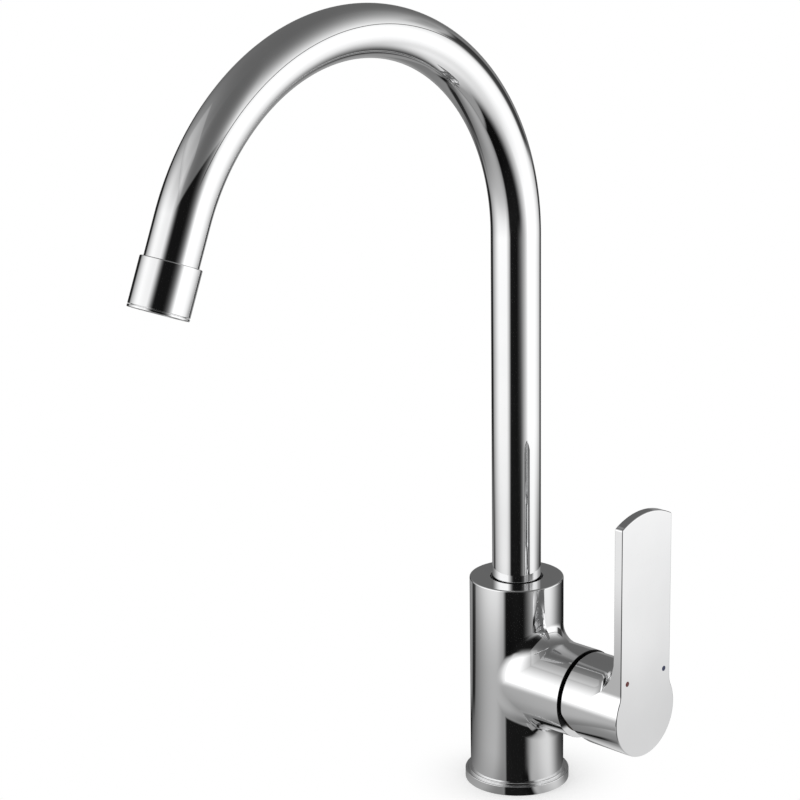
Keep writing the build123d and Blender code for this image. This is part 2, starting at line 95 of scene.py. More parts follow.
class Wire:
    """One output socket. Every operator adds a Math node to its tree and returns that node's output."""

    def __init__(self, paint, socket):
        self.paint = paint
        self.socket = socket

    def sum(self, operation, first, second=0.0):
        return self.paint.node("Math", {"operation": operation}, {0: first, 1: second})

    def __add__(self, other):
        return self.sum("ADD", self, other)

    def __sub__(self, other):
        return self.sum("SUBTRACT", self, other)

    def __rsub__(self, other):
        return self.sum("SUBTRACT", other, self)

    def __mul__(self, other):
        return self.sum("MULTIPLY", self, other)

    def __truediv__(self, other):
        return self.sum("DIVIDE", self, other)

    def __rtruediv__(self, other):
        return self.sum("DIVIDE", other, self)

    def __neg__(self):
        return self.sum("MULTIPLY", self, -1.0)

    __radd__ = __add__
    __rmul__ = __mul__

    def step(self, low, high):
        """0 below low, 1 above high and a smooth S between; low may be the larger of the two."""
        if low > high:
            return 1.0 - self.step(high, low)
        settings = {"interpolation_type": "SMOOTHSTEP"}
        sockets = {"Value": self, "From Min": low, "From Max": high}
        return self.paint.node("MapRange", settings, sockets)

    def span(self, low, high, soft):
        """1 between two limits, with soft edges centred on them."""
        half = soft / 2
        return self.step(low - half, low + half) * self.step(high + half, high - half)

    def bell(self, centre, width):
        """Bell curve: 1 at the centre, and e to the minus one at the width."""
        away = (self - centre) / width
        return away.sum("EXPONENT", -(away * away))

    def blend(self, first, second):
        """The first number or value where this one is 0, and the second where it is 1."""
        return first + (second - first) * self


class Paint:
    """One node tree, and the only way that nodes get into it."""

    def __init__(self, tree):
        self.tree = tree
        tree.nodes.clear()

    def node(self, kind, settings=None, sockets=None, output=0):
        """Add a shader node of a kind: set its settings, fill or link its sockets, and return an output."""
        made = self.tree.nodes.new("ShaderNode" + kind)
        for name, value in (settings or {}).items():
            setattr(made, name, value)
        for name, value in (sockets or {}).items():
            if isinstance(value, Wire):
                self.tree.links.new(value.socket, made.inputs[name])
            else:
                made.inputs[name].default_value = value
        return Wire(self, made.outputs[output]) if made.outputs else made

    def tint(self, factor, first, second):
        """Two colours mixed by a factor."""
        return self.node("Mix", {"data_type": "RGBA"}, {0: factor, 6: first, 7: second}, 2)

    def parts(self, vector):
        """X, Y and Z of a vector as three values."""
        split = self.node("SeparateXYZ", None, {"Vector": vector})
        return [Wire(self, output) for output in split.socket.node.outputs]


print("sums on sockets are ready")

# %% [markdown]
# Chrome has no colour of its own: it shows the room. The photograph's chrome shows a studio with a large
# soft box on each side, a black card round the camera, grey cloth overhead and narrow gaps in the far
# corners. The world holds that studio for mirror rays only. The camera sees plain white, and everything
# else gets even, plain light.

# %% Directions in the studio
world = bpy.data.worlds.new("studio")
world.use_nodes = True
scene.world = world
studio = Paint(world.node_tree)
look = studio.node("TexCoord", None, None, "Generated")
look_x, look_y, look_z = studio.parts(look)


def ahead_and_aside(x, y, azimuth):
    """How far a place or direction goes towards an azimuth, counted from the camera's, and to its right."""
    front, side = level_direction(camera_azimuth + azimuth), level_direction(camera_azimuth + azimuth + 90)
    return x * front.x + y * front.y, x * side.x + y * side.y


def bearing(x, y, azimuth=0):
    """Angle round the vertical, in degrees to the right of an azimuth counted from the camera's."""
    ahead, aside = ahead_and_aside(x, y, azimuth)
    return aside.sum("ARCTAN2", aside, ahead) * math.degrees(1)


def rise_on_wall(azimuth):
    """Height over distance on a flat wall across an azimuth counted from the camera's."""
    return look_z / ahead_and_aside(look_x, look_y, azimuth)[0]


height = look_z.sum("ARCSINE", look_z) * math.degrees(1)
left_box_azimuth, right_box_azimuth = -80, 86
from_front = bearing(look_x, look_y)
from_back = bearing(look_x, look_y, 180)
from_left = bearing(look_x, look_y, left_box_azimuth)
from_right = bearing(look_x, look_y, right_box_azimuth)
print("soft boxes at", left_box_azimuth, "and", right_box_azimuth, "degrees from the camera")

# %% Studio in the world
grey_cloth = 0.127
far_floor = 0.30
plain_light = 0.80
box_width = 36


def soft_box(from_middle, peak, outer, outer_width):
    """Soft box from side to side: a high bell, cut off by a low one that falls on the outer side alone."""
    outside = from_middle.sum(outer, from_middle, 0.0)
    return outside.sum("MINIMUM", peak * from_middle.bell(0, box_width), 0.98 * outside.bell(0, outer_width))


# Cloth overhead, floor below it, and the two soft boxes with their glow
low_sides = 0.15 + 0.24 * from_right.bell(0, 70) + 0.10 * from_left.bell(0, 60)
shade = look_z.step(-0.05, -0.55).blend(grey_cloth, low_sides)
shade = look_z.step(-0.86, -0.97).blend(shade, far_floor)
shade = shade + 1.06 * soft_box(from_right, 2.2, "MAXIMUM", 48) * height.bell(0, 36)
shade = shade + 1.16 * soft_box(from_left, 2.4, "MINIMUM", 40) * height.bell(4, 34) * height.step(-54, -18)

# Seams of the soft boxes, straight lines on flat walls
left_rise, right_rise = rise_on_wall(-75), rise_on_wall(70)
left_wall = from_left.span(-36, 50, 10)
shade = shade + 0.13 * left_rise.span(0.84, 1.5, 0.12) * left_wall
shade = shade * (1 - 0.12 * left_rise.span(0.765, 0.79, 0.02) * left_wall)
shade = shade * (1 - 0.9 * right_rise.span(0.328, 0.368, 0.02) * from_right.span(-50, 32, 8))

# Edge of the table, a thin light line far below
table_sides = from_left.span(-30, 50, 10) + from_right.span(-44, 30, 10)
shade = shade + 0.16 * height.span(-66, -64, 1.5) * table_sides

# Black card round the camera: a wide upper half, and a narrower lower half with a sharp left edge
above = look_z.step(-0.17, 0.12)
deep = height.step(-10, -20)
upper_card = from_front.step(-40, -16) * from_front.step(64, 14) * rise_on_wall(0).step(0.64, 0.57) * above
left_edge = deep.blend(from_front.step(-32, -25), from_front.step(-37, -27))
right_edge = deep.blend(from_front.step(29, 0), from_front.step(38, 14))
card = upper_card + left_edge * right_edge * height.step(-65, -62) * (1 - above)
shade = shade * (1 - 0.985 * card) + 0.005 * card

# Pale wall behind the tap between dark gaps, which draw a dark line along every outline; each gap has its
# darkness, and where it starts, where it ends and how soft it is, round the back and upwards
shade = shade + 0.16 * from_back.bell(-2, 17) * height.span(-70, 5, 8)
dark_gaps = [
    (0.94, (20, 48, 10), (-22, 8, 6)),
    (0.94, (-44, -24, 10), (-22, -5, 6)),
    (0.92, (-64, -36, 12), (-5, 17.5, 4)),
    (0.3, (-66, -44, 12), (19, 27, 6)),
    (0.8, (29, 41, 8), (-54, -20, 6)),
]
for darkness, around, upward in dark_gaps:
    shade = shade * (1 - darkness * from_back.span(*around) * height.span(*upward))

# Mirror rays see the studio, the camera and clear pieces see white, and all the rest gets even light
light_path = studio.node("LightPath", None, None, "Is Camera Ray")
is_glossy = Wire(studio, light_path.socket.node.outputs["Is Glossy Ray"])
is_clear = Wire(studio, light_path.socket.node.outputs["Is Transmission Ray"])
shown = light_path.sum("MAXIMUM", light_path, is_clear)
mirrored = studio.node("Background", None, {"Color": shade})
backdrop = studio.node("Background", None, {"Color": (1, 1, 1, 1)})
even_light = studio.node("Background", None, {"Color": (plain_light,) * 3 + (1,)})
seen = studio.node("MixShader", None, {0: shown, 1: even_light, 2: backdrop})
seen = studio.node("MixShader", None, {0: is_glossy, 1: seen, 2: mirrored})
studio.node("OutputWorld", None, {"Surface": seen})
print("studio:", len(world.node_tree.nodes), "nodes")

# %% [markdown]
# The floor is a plain pale sheet that keeps the tap's soft shadow and fades to the white of the background.
# In the chrome it shows painted light and shade, an emission that mirror rays alone see: lighter on the
# right, with a dark wedge towards the camera, a dark patch by the foot and darker sides at the back. It fades
# out with distance, and at a shallow angle a painted sheen makes it brighter on the left.

# %% Floor sheet
floor_half = 8.0
corners = np.array([(-1, -1, 0), (1, -1, 0), (1, 1, 0), (-1, 1, 0)], float) * floor_half
sheet = bpy.data.meshes.new("floor")
sheet.from_pydata(corners.tolist(), [], [(0, 1, 2, 3)])
floor = bpy.data.objects.new("floor", sheet)
scene.collection.objects.link(floor)
print("floor:", floor_half * 2, "m wide")

# %% Floor paper
paper = bpy.data.materials.new("floor_paper")
paper.use_nodes = True
page = Paint(paper.node_tree)
place = page.node("TexCoord", None, None, "Object")
reach = page.node("VectorMath", {"operation": "LENGTH"}, {0: place}, "Value")
right_turn = bearing(*page.parts(place)[:2])
left_turn = -right_turn

# Painted light on the paper to the left and right of the foot, as mirror rays see it, with a painted sheen at
# a shallow angle
shallow = page.node("LayerWeight", None, {"Blend": 0.5}, "Facing").step(0.2, 0.7)
near_rise = reach.step(0.03, 0.075)
far_rise = reach.step(0.16, 0.35)
outward = reach.step(0.05, 0.25)
left_bell = right_turn.bell(outward.blend(-52, -58), 62)
right_bell = right_turn.bell(outward.blend(66, 76), outward.blend(42, 45))
left_mirrored_light = (0.36 + 0.08 * near_rise) * (0.84 + 0.16 * shallow) + 0.40 * far_rise * shallow
right_mirrored_light = 0.66 + 0.02 * near_rise + 0.22 * far_rise
mirrored_floor_light = 0.02 + left_mirrored_light * left_bell + right_mirrored_light * right_bell

# Dark wedge towards the camera, clear near the foot to show the world's black card and painted dark farther
# out; the column turns its edges outwards, the more so near the foot
column_turning = 0.0118
seen_turn = right_turn / (1 - column_turning / reach)
far_out = reach.step(0.08, 0.13)
wedge_left = far_out.blend(seen_turn.step(-34, -29), seen_turn.step(-38, -28))
wedge_right = far_out.blend(seen_turn.step(50, 15), seen_turn.step(46, 11))
in_wedge = wedge_left * wedge_right
filled = reach.step(0.145, 0.18)
foot_right = right_turn.step(24, 16)
dark_foot = right_turn.step(3, 11) * foot_right * reach.step(0.06, 0.042)
solid = reach.step(0.66, 0.24) * (1 - in_wedge * (1 - filled.sum("MAXIMUM", filled, dark_foot)))
# Painted shade: the far wedge, a dark patch by the foot at the front right, and darker paper at the front
# left
mirrored_floor_light = mirrored_floor_light * (1 - 0.98 * in_wedge * filled)
mirrored_floor_light = mirrored_floor_light * (1 - 0.98 * right_turn.step(-6, 2) * foot_right * reach.step(0.075, 0.06))
mirrored_floor_light = mirrored_floor_light * (1 - 0.35 * right_turn.step(-52, -28) * right_turn.step(0, -20))

# Painted shade on the paper towards the back on both sides, and a painted lighter patch right behind
left_line = 0.85 * left_turn.step(116, 122) * left_turn.step(140, 134)
left_dark = far_out.blend(0.9 * left_turn.step(126, 146), left_line)
left_pale = far_out.blend(0.28 * left_turn.step(150, 168), 0.16 * left_turn.step(134, 142))
right_pale = 0.28 * right_turn.step(150, 168)
mirrored_floor_light = mirrored_floor_light * (1 - 0.7 * seen_turn.step(80, 136)) * (1 - 0.9 * right_turn.step(126, 146))
mirrored_floor_light = mirrored_floor_light * (1 - left_dark) + left_pale + right_pale

# Mirror rays see this painted light and shade as a glowing sheet, clear where it is not solid
glow = page.node("Emission", None, {"Color": mirrored_floor_light})
clear = page.node("BsdfTransparent")
mirror_floor = page.node("MixShader", None, {0: solid, 1: clear, 2: glow})
matt = page.node("BsdfDiffuse", None, {"Color": (0.95, 0.95, 0.95, 1)})
white = page.node("Emission", None, {"Color": (1, 1, 1, 1)})
seen_floor = page.node("MixShader", None, {0: reach.step(0.0, 0.06), 1: matt, 2: white})
floor_path = page.node("LightPath", None, None, "Is Glossy Ray")
top = page.node("MixShader", None, {0: floor_path, 1: seen_floor, 2: mirror_floor})
page.node("OutputMaterial", None, {"Surface": top})
sheet.materials.append(paper)
print("floor paper:", len(paper.node_tree.nodes), "nodes")

# %% [markdown]
# Two large soft lamps and the world's even light are for everything that isn't a mirror. Their own squares
# stay out of the chrome, because the studio in the world already shows the soft boxes.

# %% Lamps
lamp_target = Vector((0, -0.09, 0.18))


def soft_lamp(name, azimuth, elevation, distance, size, power):
    """Square area lamp that looks at the middle of the tap."""
    away = direction(camera_azimuth + azimuth, elevation)
    lamp = bpy.data.lights.new(name, "AREA")
    lamp.size = size
    lamp.energy = power
    holder = bpy.data.objects.new(name, lamp)
    turn = away.to_track_quat("Z", "Y").to_matrix().to_4x4()
    holder.matrix_world = Matrix.Translation(lamp_target + away * distance) @ turn
    holder.visible_glossy = False
    scene.collection.objects.link(holder)


soft_lamp("left_soft_box", azimuth=-75, elevation=35, distance=1.6, size=1.2, power=9)
soft_lamp("right_soft_box", azimuth=80, elevation=30, distance=1.6, size=1.2, power=7)
print("lamps:", len(bpy.data.lights))

# %% [markdown]
# Polished chrome is a clear mirror with a faint blue-grey cast. What tells it from a perfect mirror is
# small: the buffing leaves fine lines and slightly duller clouds. Brass and steel keep the lines of the
# lathe, rubber and plastics have a moulded grain, ceramic is speckled and enamel is cloudy. All follow the
# object's own coordinates.

# %% Finishes
grain_height = 0.00005
# Painted shade in the gap between branch and hub: its soft edges, its near-black colour and its roughness
gap_shade_edge, gap_shade_fade = 0.0001, 0.003
gap_shade_colour, gap_shade_roughness = (0.03, 0.03, 0.03, 1), 0.5


def finish(name, first, second, roughness, metallic, cloud, grain, stretch, depth, gap_shade=None):
    """Cloud noise mixes two colours and two roughnesses; stretched fine grain gives the bump its height.

    Where the gap's shade is asked for, between its first two values in X and above its third in Z, shade is
    painted: the colour goes near black and the surface rougher.
    """
    material = bpy.data.materials.new(name)
    material.use_nodes = True
    paint = Paint(material.node_tree)
    place = paint.node("TexCoord", None, None, "Object")
    clouds = paint.node("TexNoise", None, {"Vector": place, "Scale": cloud, "Detail": 4.0})
    patch = clouds.step(0.35, 0.7)
    stretched = paint.node("VectorMath", {"operation": "MULTIPLY"}, {0: place, 1: stretch})
    lines = paint.node("TexNoise", None, {"Vector": stretched, "Scale": grain, "Detail": 2.0})
    bump = paint.node("Bump", None, {"Strength": depth, "Distance": grain_height, "Height": lines})
    colour = paint.tint(patch, first + (1,), second + (1,))
    rough = patch.blend(*roughness) + 0.02 * (lines - 0.5)
    # Painted shade: in the gap between branch and hub the chrome goes near black and rough
    if gap_shade:
        along, _, upward = paint.parts(place)
        gap_shade_mask = along.step(gap_shade[0] - gap_shade_edge, gap_shade[0]) * along.step(gap_shade[1] + gap_shade_edge, gap_shade[1])
        gap_shade_mask = gap_shade_mask * upward.step(gap_shade[2] - gap_shade_fade, gap_shade[2])
        colour = paint.tint(gap_shade_mask, colour, gap_shade_colour)
        rough = gap_shade_mask.blend(rough, gap_shade_roughness)
    sockets = {"Base Color": colour, "Roughness": rough, "Metallic": metallic, "Normal": bump}
    shader = paint.node("BsdfPrincipled", None, sockets)
    paint.node("OutputMaterial", None, {"Surface": shader})
    return material


# Where shade is painted in the gap between branch and hub, and the ways in which a grain is drawn out
hub_gap_shade = (0.04545, 0.0476, 0.0455)
even, buffed, lathe, drawn = (1, 1, 1), (1, 1, 0.1), (8, 1, 1), (1, 1, 6)

# Two colours, two roughnesses, metal or not, clouds and grain to the metre, grain's way, depth of the bump
# For chrome, the last value says where shade is painted in the gap between branch and hub
recipes = {
    "chrome": ((0.92, 0.922, 0.926), (0.95, 0.952, 0.956), (0.022, 0.04), 1, 30, 900, buffed, 0.02, hub_gap_shade),
    "brass": ((0.46, 0.33, 0.16), (0.36, 0.26, 0.13), (0.26, 0.40), 1, 60, 500, lathe, 0.3),
    # Near-black brass is painted shade, for the cartridge's nut in the gap between branch and hub
    "black_brass": ((0.06, 0.05, 0.04), (0.04, 0.034, 0.028), (0.35, 0.5), 1, 60, 500, lathe, 0.3),
    "steel": ((0.58, 0.58, 0.59), (0.50, 0.50, 0.52), (0.25, 0.36), 1, 80, 700, drawn, 0.25),
    "rubber": ((0.016, 0.016, 0.017), (0.026, 0.026, 0.027), (0.6, 0.75), 0, 200, 2500, even, 0.4),
    "dark_plastic": ((0.018, 0.018, 0.02), (0.028, 0.028, 0.03), (0.4, 0.5), 0, 150, 3000, even, 0.3),
    "white_plastic": ((0.80, 0.80, 0.78), (0.74, 0.74, 0.71), (0.38, 0.48), 0, 120, 2500, even, 0.25),
    "grey_plastic": ((0.42, 0.43, 0.44), (0.36, 0.37, 0.38), (0.4, 0.5), 0, 130, 2500, even, 0.25),
    "ceramic": ((0.82, 0.80, 0.75), (0.76, 0.74, 0.69), (0.16, 0.26), 0, 900, 4000, even, 0.1),
    "hot_enamel": ((0.10, 0.010, 0.009), (0.07, 0.008, 0.008), (0.12, 0.2), 0, 400, 3000, even, 0.1),
    "cold_enamel": ((0.009, 0.018, 0.075), (0.007, 0.014, 0.055), (0.12, 0.2), 0, 400, 3000, even, 0.1),
}
finishes = {name: finish(name, *recipe) for name, recipe in recipes.items()}
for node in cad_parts.values():
    node.data.materials[0] = finishes[node.data.materials[0].name.split(".")[0]]
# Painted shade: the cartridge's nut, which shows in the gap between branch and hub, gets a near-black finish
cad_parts["cartridge_nut"].data.materials[0] = finishes["black_brass"]
print("finishes:", ", ".join(finishes))

# %% [markdown]
# Every new piece is a skin made of patches. A patch is a grid of points, each with the direction that the
# surface faces there. Bevels and booleans could make these forms too, but chrome shows every wrong normal
# as a dent, and a normal taken from the formula is exact. Points that two patches share become one vertex,
# so each skin is closed.

# %% Skins from patches
millimetre = 0.001
weld = 0.0005


def unit(vectors):
    """Each vector divided by its length; a zero vector stays zero."""
    length = np.linalg.norm(vectors, axis=-1, keepdims=True)
    return vectors / np.where(length > 0, length, 1)


def triangles(grid):
    """Two triangles for every cell of a grid: corners a b c and a c d, with a at the lower indices."""
    a, b, c, d = grid[:-1, :-1], grid[1:, :-1], grid[1:, 1:], grid[:-1, 1:]
    return np.stack([np.stack([a, b, c], -2), np.stack([a, c, d], -2)]).reshape(-1, 3, 3)


def make_piece(name, patches, body, node, slot="chrome", loose=()):
    """Skin of patches in millimetres and of ready, loose triangles, each turned to face its normals.

    It rides on its body, in the place of its plain solid, with its finish."""
    parts = [(triangles(points), triangles(normals)) for points, normals in patches] + list(loose)
    corners, normals = [np.concatenate(kind) for kind in zip(*parts)]
    facing = np.cross(corners[:, 1] - corners[:, 0], corners[:, 2] - corners[:, 0])
    wrong = (facing * normals.sum(1)).sum(-1) < 0
    corners[wrong] = corners[wrong][:, ::-1]
    normals[wrong] = normals[wrong][:, ::-1]
    keys = np.round(corners.reshape(-1, 3) / weld).astype(np.int64)
    kept, index = np.unique(keys, axis=0, return_inverse=True)
    index = index.reshape(-1, 3)
    whole = (index != np.roll(index, 1, axis=1)).all(1)
    faces = index[whole]
    mesh = bpy.data.meshes.new(name)
    mesh.from_pydata((kept * weld * millimetre).tolist(), [], faces.tolist())
    mesh.polygons.foreach_set("use_smooth", np.ones(len(faces), bool))
    mesh.normals_split_custom_set(unit(normals[whole]).reshape(-1, 3).tolist())
    piece = bpy.data.objects.new(name, mesh)
    scene.collection.objects.link(piece)
    edges = np.sort(np.concatenate([faces[:, [0, 1]], faces[:, [1, 2]], faces[:, [2, 0]]]), axis=1)
    uses = np.unique(edges, axis=0, return_counts=True)[1]
    print(f"{name}: {len(faces)} triangles, {(uses != 2).sum()} open edges")
    mesh.materials.append(finishes[slot])
    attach(piece, body)
    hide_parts(node)


def flat(points, facing):
    """Patch that faces one way all over, or one way for each column."""
    return points, np.broadcast_to(np.array(facing, float), points.shape)


def circle(angle):
    """Points (cos t, sin t) of a circle of radius 1, which are also the directions that they face."""
    return np.stack([np.cos(angle), np.sin(angle)], -1)


print("points become one on a grid of", weld, "mm")

# %% [markdown]
# Rings and sleeves are turned on a lathe in the real tap, and here too: an outline in radius and height
# goes round an axis. Each corner of the outline is rounded, because a bare edge catches no light and looks
# cut from paper.

# %% Turned pieces
turns = 192
turn_step = 2 * np.pi / turns
all_round = np.arange(turns + 1) * turn_step
upright = np.eye(3)


def rounded_outline(corners, radii, steps=6):
    """Closed outline as runs of points and normals: straight runs, and arcs that touch two of them.

    It goes counter-clockwise. With heading t, an arc's points are its centre plus radius (sin t, -cos t)."""
    corners = np.array(corners, float)
    ahead = np.roll(corners, -1, axis=0) - corners
    heading = np.arctan2(ahead[:, 1], ahead[:, 0])
    before = np.roll(heading, 1)
    bend = (heading - before + np.pi) % (2 * np.pi) - np.pi
    cut = (np.array(radii) * np.tan(np.abs(bend) / 2))[:, None]
    forth = circle(heading)
    start, end = corners - circle(before) * cut, corners + forth * cut
    runs = []
    for number in range(len(corners)):
        follower = (number + 1) % len(corners)
        across = (forth[number, 1], -forth[number, 0])
        runs.append(flat(np.stack([end[number], start[follower]]), across))
        if radii[follower] > 0:
            t = before[follower] + bend[follower] * np.linspace(0, 1, steps + 1)
            outward = np.stack([np.sin(t), -np.cos(t)], -1)
            swing = np.sign(bend[follower]) * radii[follower]
            runs.append((start[follower] + swing * (outward - outward[0]), outward))
    return runs


def turned(runs, axes=upright, origin=(0, 0, 0), t=all_round):
    """Patches of a turned piece: radius r and height h go to (r cos t, r sin t, h) for all turns t."""
    for run in runs:
        points, normals = [
            np.stack([row[:, :1] * np.cos(t), row[:, :1] * np.sin(t), row[:, 1:] + 0 * t], -1) @ axes.T
            for row in run
        ]
        yield points + np.array(origin), normals


ring_radius, shoulder_radius, ring_bore = 25.9, 24.5, 21.05
flange_height, ring_height = 4.8, 6.0
gasket_inner, gasket_outer, gasket_depth = 22.2, 24.4, 1.8
base_outline = [
    (ring_bore, 0), (gasket_inner, 0), (gasket_inner, gasket_depth), (gasket_outer, gasket_depth),
    (gasket_outer, 0), (ring_radius, 0), (ring_radius, flange_height), (shoulder_radius, flange_height),
    (shoulder_radius, ring_height), (ring_bore, ring_height),
]
base_rounding = [0.1, 0.1, 0, 0, 0.1, 0.2, 0.5, 0.15, 0.5, 0.1]
base_runs = rounded_outline(base_outline, base_rounding)
make_piece("base_ring_turned", turned(base_runs), "column", "base_ring")

# %% [markdown]
# The gooseneck is one bent tube: a straight riser, a large arch and a short tail. Its skin is a circle
# carried along that line, outside and inside. A curve with a bevel would do, but here the rings can sit
# close together in the arch, where the light bends most.

# %% Gooseneck
tube_radius, tube_bore = 12.0, 10.8
tube_foot, arch_height, tube_tail = 98.3, 278.4, 27.7
arch_radius, arch_sweep = 107.6, math.radians(157.75)
riser_rings, arch_rings, tail_rings, ring_points = 25, 160, 8, 96
tail_axis = np.array([0, -math.sin(arch_sweep), math.cos(arch_sweep)])
arch_rise = arch_radius * math.sin(arch_sweep)
arch_end = np.array([0, arch_radius * (math.cos(arch_sweep) - 1), arch_height + arch_rise])


def gooseneck_line():
    """Centre line and its outer side: the riser, then arch radius times (cos a - 1, sin a), then the tail."""
    riser = np.linspace(tube_foot, arch_height, riser_rings)[:, None] * np.array([0, 0, 1.0])
    a = np.linspace(0, arch_sweep, arch_rings + 1)[1:, None]
    arch = np.array([0, 0, arch_height]) + arch_radius * np.hstack([0 * a, np.cos(a) - 1, np.sin(a)])
    tail = arch_end + np.linspace(0, tube_tail, tail_rings + 1)[1:, None] * tail_axis
    outer = np.hstack([0 * a, np.cos(a), np.sin(a)])
    sides = np.vstack([np.tile([0, 1, 0], (riser_rings, 1)), outer, np.tile(outer[-1], (tail_rings, 1))])
    return np.vstack([riser, arch, tail]), sides


line, outer_side = gooseneck_line()
swing = np.linspace(0, 2 * np.pi, ring_points + 1)[:, None]
tube_facing = np.cos(swing) * outer_side[:, None] + np.sin(swing) * np.array([1.0, 0, 0])
outside = line[:, None] + tube_radius * tube_facing
inside = line[:, None] + tube_bore * tube_facing
tube_patches = [
    (outside, tube_facing),
    (inside, -tube_facing),
    flat(np.stack([inside[0], outside[0]]), (0, 0, -1)),
    flat(np.stack([inside[-1], outside[-1]]), tail_axis),
]
make_piece("gooseneck_bent", tube_patches, "spout", "spout_tube")

# %% [markdown]
# A sleeve closes the tube's end, and the aerator screws into it and shows a narrow rim. Both are turned
# about the tail's line. The two edges that meet are rounded, which gives the thin dark line between them.

# %% Outlet sleeve and aerator cup
sleeve_start, sleeve_end, outlet_end, washer_end = 18.7, 39.7, 40.9, 29.2
seam_gap = 0.25
sleeve_bore, sleeve_radius = 12.02, 13.52
cup_radius, cup_bore, cup_mouth, cup_floor = 11.97, 10.22, 9.22, 39.9
tail_axes = np.stack([np.array([1.0, 0, 0]), np.cross(tail_axis, [1.0, 0, 0]), tail_axis], axis=1)
sleeve_outline = [
    (sleeve_bore, sleeve_start), (sleeve_radius, sleeve_start),
    (sleeve_radius, sleeve_end - seam_gap), (sleeve_bore, sleeve_end - seam_gap),
]
sleeve_runs = rounded_outline(sleeve_outline, [0.1, 0.45, 0.2, 0])
make_piece("outlet_sleeve_turned", turned(sleeve_runs, tail_axes, arch_end), "spout", "outlet_sleeve")
cup_outline = [
    (cup_bore, washer_end), (cup_radius, washer_end), (cup_radius, sleeve_end), (sleeve_radius, sleeve_end),
    (sleeve_radius, outlet_end), (cup_mouth, outlet_end), (cup_mouth, cup_floor), (cup_bore, cup_floor),
]
cup_runs = rounded_outline(cup_outline, [0.1, 0.1, 0, 0.2, 0.4, 0.3, 0, 0])
make_piece("aerator_cup_turned", turned(cup_runs, tail_axes, arch_end), "spout", "aerator_housing")

# %% [markdown]
# Column and branch are one casting. Where they meet, a ball that rolls along both would leave the blend;
# the polisher takes off more at the sides, so the ball is larger there. For every angle round the branch,
# one row of points runs along the branch, over the blend's arc and out over the column, so the whole front
# is a single grid.

# %% Front of the casting
column_radius, column_top = 23.2, 106.5
branch_radius, branch_height, branch_end, branch_edge = 22.0, 56.4, 45.62, 0.35
blend_top, blend_side = 8.0, 18.0
front_low, front_high = ring_height, 87.5
half_front, rows_up = 58, 40
blend_steps, neck_steps = 16, 12


def rectangle(half_columns, half_rows):
    """Index steps (across, up) once round a rectangle from its right lower corner."""
    rows, columns = int(2 * half_rows), int(2 * half_columns)
    right = np.stack([np.full(rows, half_columns), np.arange(rows) - half_rows])
    over = np.stack([half_columns - np.arange(columns), np.full(columns, half_rows)])
    loop = np.hstack([right, over, -right, -over])
    return np.hstack([loop, loop[:, :1]]).astype(float)


def swing_between(first, second, steps):
    """Unit vectors from first to second, w apart: sin((1 - t) w) first plus sin(t w) second, over sin w."""
    w = np.arccos((first * second).sum(-1))[:, None]
    t = np.linspace(0, 1, steps + 1)[:, None, None]
    return (np.sin((1 - t) * w) * first + np.sin(t * w) * second) / np.sin(w)


def cylinder(radius, turn, height, out=1):
    """Part of an upright cylinder: points (radius cos t, radius sin t, h) for turns t and heights h."""
    facing = circle(turn)
    points = np.concatenate([radius * facing, height[..., None]], -1)
    return points, out * np.concatenate([facing, 0 * height[..., None]], -1)


def front_patches():
    """Rows round the branch's angle f. The ball's radius is b = top + (side - top) cos^2 f.

    Its centre lies at branch radius + b from the branch's axis and column radius + b from the column's axis.
    Its arc swings from one line of touch to the other; past it, rows go straight to the rectangle."""
    across, up = rectangle(half_front, rows_up // 2)
    edge_turn = across * turn_step
    edge_height = (front_low + front_high) / 2 + up * (front_high - front_low) / rows_up
    f = np.arctan2(edge_height - branch_height, edge_turn * column_radius)
    cos, sin = np.cos(f), np.sin(f)
    ball = blend_top + (blend_side - blend_top) * cos**2
    centre_y, centre_z = (branch_radius + ball) * cos, (branch_radius + ball) * sin + branch_height
    centre_x = np.sqrt((column_radius + ball) ** 2 - centre_y**2)
    to_branch = np.stack([0 * cos, -cos, -sin], -1)
    to_column = np.stack([-centre_x, -centre_y, 0 * cos], -1) / (column_radius + ball)[:, None]
    swung = swing_between(to_branch, to_column, blend_steps)
    arc = np.stack([centre_x, centre_y, centre_z], -1) + ball[:, None] * swung
    s = np.linspace(0, 1, neck_steps + 1)[:, None]
    neck_x = (branch_end - branch_edge) * (1 - s) + centre_x * s
    neck = np.stack([neck_x, branch_radius * cos + 0 * s, branch_height + branch_radius * sin + 0 * s], -1)
    start_turn = np.arctan2(centre_y, centre_x)
    turn = start_turn + (edge_turn - start_turn) * s
    wall = cylinder(column_radius, turn, centre_z + (edge_height - centre_z) * s)
    return [flat(neck, -to_branch), (arc, -swung), wall]


front = front_patches()
print("front of the casting:", sum(points.shape[0] * points.shape[1] for points, _ in front), "points")

# %% [markdown]
# The rest of the casting is walls and rings: the column's back, the band with the hole of the spout's lock
# screw, the rounded rim, the mouth and bore for the spout, the branch's end with the cartridge's chamber,
# and the spigot. In its foot are two threads for the hoses and one for the stud, whose ridges wind up as a
# helix.

# %% Lock screw's hole
lock_height, lock_hole, lock_half, lock_half_rows = 91.3, 2.5, 10, 5
bore_radius = 11.65
quarter = np.pi / 2
lock_row = (lock_height - front_high) / lock_half_rows
lock_rows = front_high + np.arange(2 * lock_half_rows + 1) * lock_row
beside_lock = quarter + np.arange(lock_half, turns - lock_half + 1) * turn_step


def wall_grid(radius, turn, height, out=1):
    """Part of an upright cylinder between given turns and heights."""
    h, t = np.meshgrid(height, turn, indexing="ij")
    return cylinder(radius, t, h, out)


